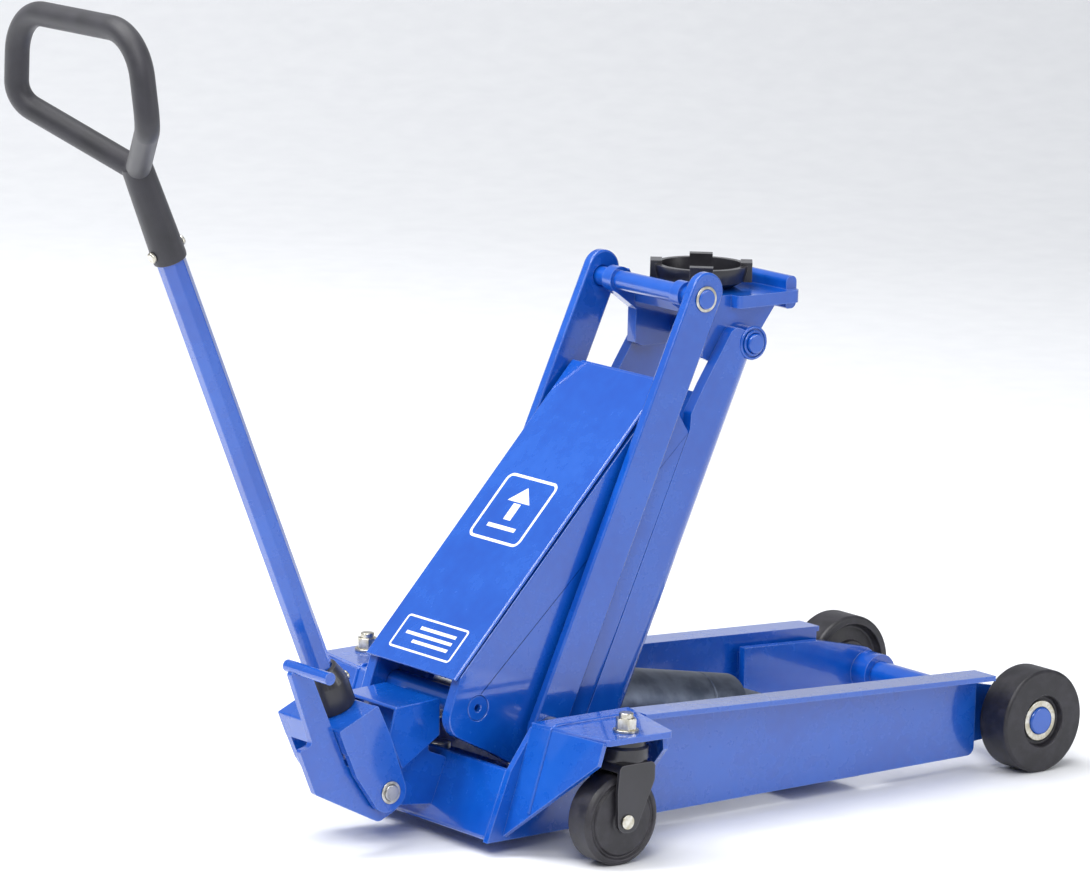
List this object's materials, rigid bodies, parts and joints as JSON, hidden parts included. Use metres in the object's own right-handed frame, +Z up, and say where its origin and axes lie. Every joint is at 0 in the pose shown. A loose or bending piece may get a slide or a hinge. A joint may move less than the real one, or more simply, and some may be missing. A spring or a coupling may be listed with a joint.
{
  "type": "trolley jack",
  "caption": "Low hydraulic workshop trolley jack: two-rail chassis on wheels, levelled lifting arm with a round saddle, swinging ram, pump with foot pedal and a loop-ended handle.",
  "frame": {"origin": "middle of the bounding box's bottom, on the floor plane", "axes": "+X forward to the fixed front wheels, +Y to the left, +Z up; drawn with the arm near full height"},
  "size_m": [1.2965, 0.5156, 0.9303],
  "materials": {
    "blue_paint": "gloss",
    "bare_steel": "turned",
    "zinc_plate": "zinc plated",
    "black_wheel": "satin black",
    "bronze_bush": "machined",
    "black_iron": "satin black",
    "barrel_grey": "gloss",
    "chromed_rod": "ground",
    "seal_rubber": "matt",
    "black_grip": "satin coating over steel tube"
  },
  "bodies": {
    "chassis": {"side_rail_left": "blue_paint", "side_rail_right": "blue_paint", "axle_cheek_left": "blue_paint", "axle_cheek_right": "blue_paint", "rear_pan": "blue_paint", "caster_wing_left": "blue_paint", "caster_wing_right": "blue_paint", "front_axle": "blue_paint", "axle_rings": "zinc_plate", "caster_studs": "zinc_plate", "caster_nuts": "zinc_plate", "arm_pivot_pins": "bare_steel", "link_pivot_pins": "bare_steel", "ram_anchor": "blue_paint", "anchor_pin": "bare_steel", "pump_block": "blue_paint", "release_valve": "zinc_plate", "pump_hood": "blue_paint", "oil_tank": "blue_paint", "filler_plug": "zinc_plate", "oil_pipe": "zinc_plate", "yoke_pin": "bare_steel", "yoke_pin_rings": "zinc_plate"},
    "lift_arm": {"arm_plate_left": "blue_paint", "arm_plate_right": "blue_paint", "arm_cover": "blue_paint", "arm_channel": "blue_paint", "arm_pivot_bushes": "bronze_bush", "ram_pin": "blue_paint"},
    "link_bars": {"link_bar_left": "blue_paint", "link_bar_right": "blue_paint", "link_rings": "zinc_plate", "link_shaft": "blue_paint"},
    "carrier": {"saddle_carrier": "blue_paint", "carrier_pin": "blue_paint", "carrier_pin_collars": "blue_paint"},
    "saddle": {"saddle": "black_iron"},
    "ram_barrel": {"ram_barrel": "barrel_grey", "ram_gland": "bronze_bush"},
    "ram_rod": {"ram_rod": "chromed_rod", "ram_piston": "barrel_grey", "piston_seal": "seal_rubber"},
    "pump_plunger": {"pump_plunger": "chromed_rod"},
    "yoke": {"handle_yoke": "blue_paint", "foot_pedal": "blue_paint"},
    "handle": {"handle_socket": "black_iron", "socket_bolts": "zinc_plate", "handle_tube": "blue_paint", "handle_grip": "black_grip", "grip_bolts": "zinc_plate"},
    "front_wheel_left": {"front_wheel_left": "black_wheel", "wheel_bush_left": "bronze_bush"},
    "caster_fork_left": {"caster_fork_left": "black_iron", "caster_axle_left": "zinc_plate"},
    "caster_wheel_left": {"caster_wheel_left": "black_wheel"},
    "front_wheel_right": {"front_wheel_right": "black_wheel", "wheel_bush_right": "bronze_bush"},
    "caster_fork_right": {"caster_fork_right": "black_iron", "caster_axle_right": "zinc_plate"},
    "caster_wheel_right": {"caster_wheel_right": "black_wheel"}
  },
  "joints": [
    {"name": "arm_lift", "type": "hinge", "parent": "chassis", "child": "lift_arm", "pos_m": [0.0184, 0, 0.056], "axis": [0, 1, 0], "range_deg": [0, 63]},
    {"name": "link_swing", "type": "hinge", "parent": "chassis", "child": "link_bars", "pos_m": [-0.0666, 0, 0.115], "axis": [0, 1, 0], "range_deg": [0, 63]},
    {"name": "carrier_level", "type": "hinge", "parent": "lift_arm", "child": "carrier", "pos_m": [0.22461, 0, 0.51698], "axis": [0, 1, 0], "range_deg": [-63, 0]},
    {"name": "saddle_turn", "type": "hinge", "parent": "carrier", "child": "saddle", "pos_m": [0.2134, 0, 0.6], "axis": [0, 0, 1], "continuous": true},
    {"name": "ram_swing", "type": "hinge", "parent": "chassis", "child": "ram_barrel", "pos_m": [0.3064, 0, 0.07], "axis": [0, 1, 0], "range_deg": [0, 22.82]},
    {"name": "ram_stroke", "type": "slide", "parent": "ram_barrel", "child": "ram_rod", "axis": [-0.9855, 0, 0.1696], "range_m": [-0.13026, 0]},
    {"name": "handle_pump", "type": "hinge", "parent": "chassis", "child": "yoke", "pos_m": [-0.2516, 0, 0.0635], "axis": [0, 1, 0], "range_deg": [-42, 0]},
    {"name": "pump_stroke", "type": "slide", "parent": "chassis", "child": "pump_plunger", "axis": [-1, 0, 0], "range_m": [0, 0.0283]},
    {"name": "handle_twist", "type": "hinge", "parent": "yoke", "child": "handle", "pos_m": [-0.29099, 0, 0.15323], "axis": [-0.4019, 0, 0.9157], "range_deg": [-40, 40]},
    {"name": "front_wheel_left_spin", "type": "hinge", "parent": "chassis", "child": "front_wheel_left", "pos_m": [0.5884, 0, 0.06], "axis": [0, 1, 0], "continuous": true},
    {"name": "caster_left_swivel", "type": "hinge", "parent": "chassis", "child": "caster_fork_left", "pos_m": [-0.0686, 0.23, 0.12], "axis": [0, 0, 1], "continuous": true},
    {"name": "caster_left_spin", "type": "hinge", "parent": "caster_fork_left", "child": "caster_wheel_left", "pos_m": [-0.0836, 0.23, 0.05], "axis": [0, 1, 0], "continuous": true},
    {"name": "front_wheel_right_spin", "type": "hinge", "parent": "chassis", "child": "front_wheel_right", "pos_m": [0.5884, 0, 0.06], "axis": [0, 1, 0], "continuous": true},
    {"name": "caster_right_swivel", "type": "hinge", "parent": "chassis", "child": "caster_fork_right", "pos_m": [-0.0686, -0.23, 0.12], "axis": [0, 0, 1], "continuous": true},
    {"name": "caster_right_spin", "type": "hinge", "parent": "caster_fork_right", "child": "caster_wheel_right", "pos_m": [-0.0836, -0.23, 0.05], "axis": [0, 1, 0], "continuous": true}
  ],
  "couplings": [
    {"joint": "link_swing", "follows": "arm_lift", "ratio": 1},
    {"joint": "carrier_level", "follows": "arm_lift", "ratio": -1},
    {"joint": "ram_swing", "follows": "arm_lift", "ratio": 0.36187},
    {"joint": "ram_stroke", "follows": "arm_lift", "m_per_rad": -0.11844},
    {"joint": "pump_stroke", "follows": "handle_pump", "m_per_rad": -0.0385}
  ]
}
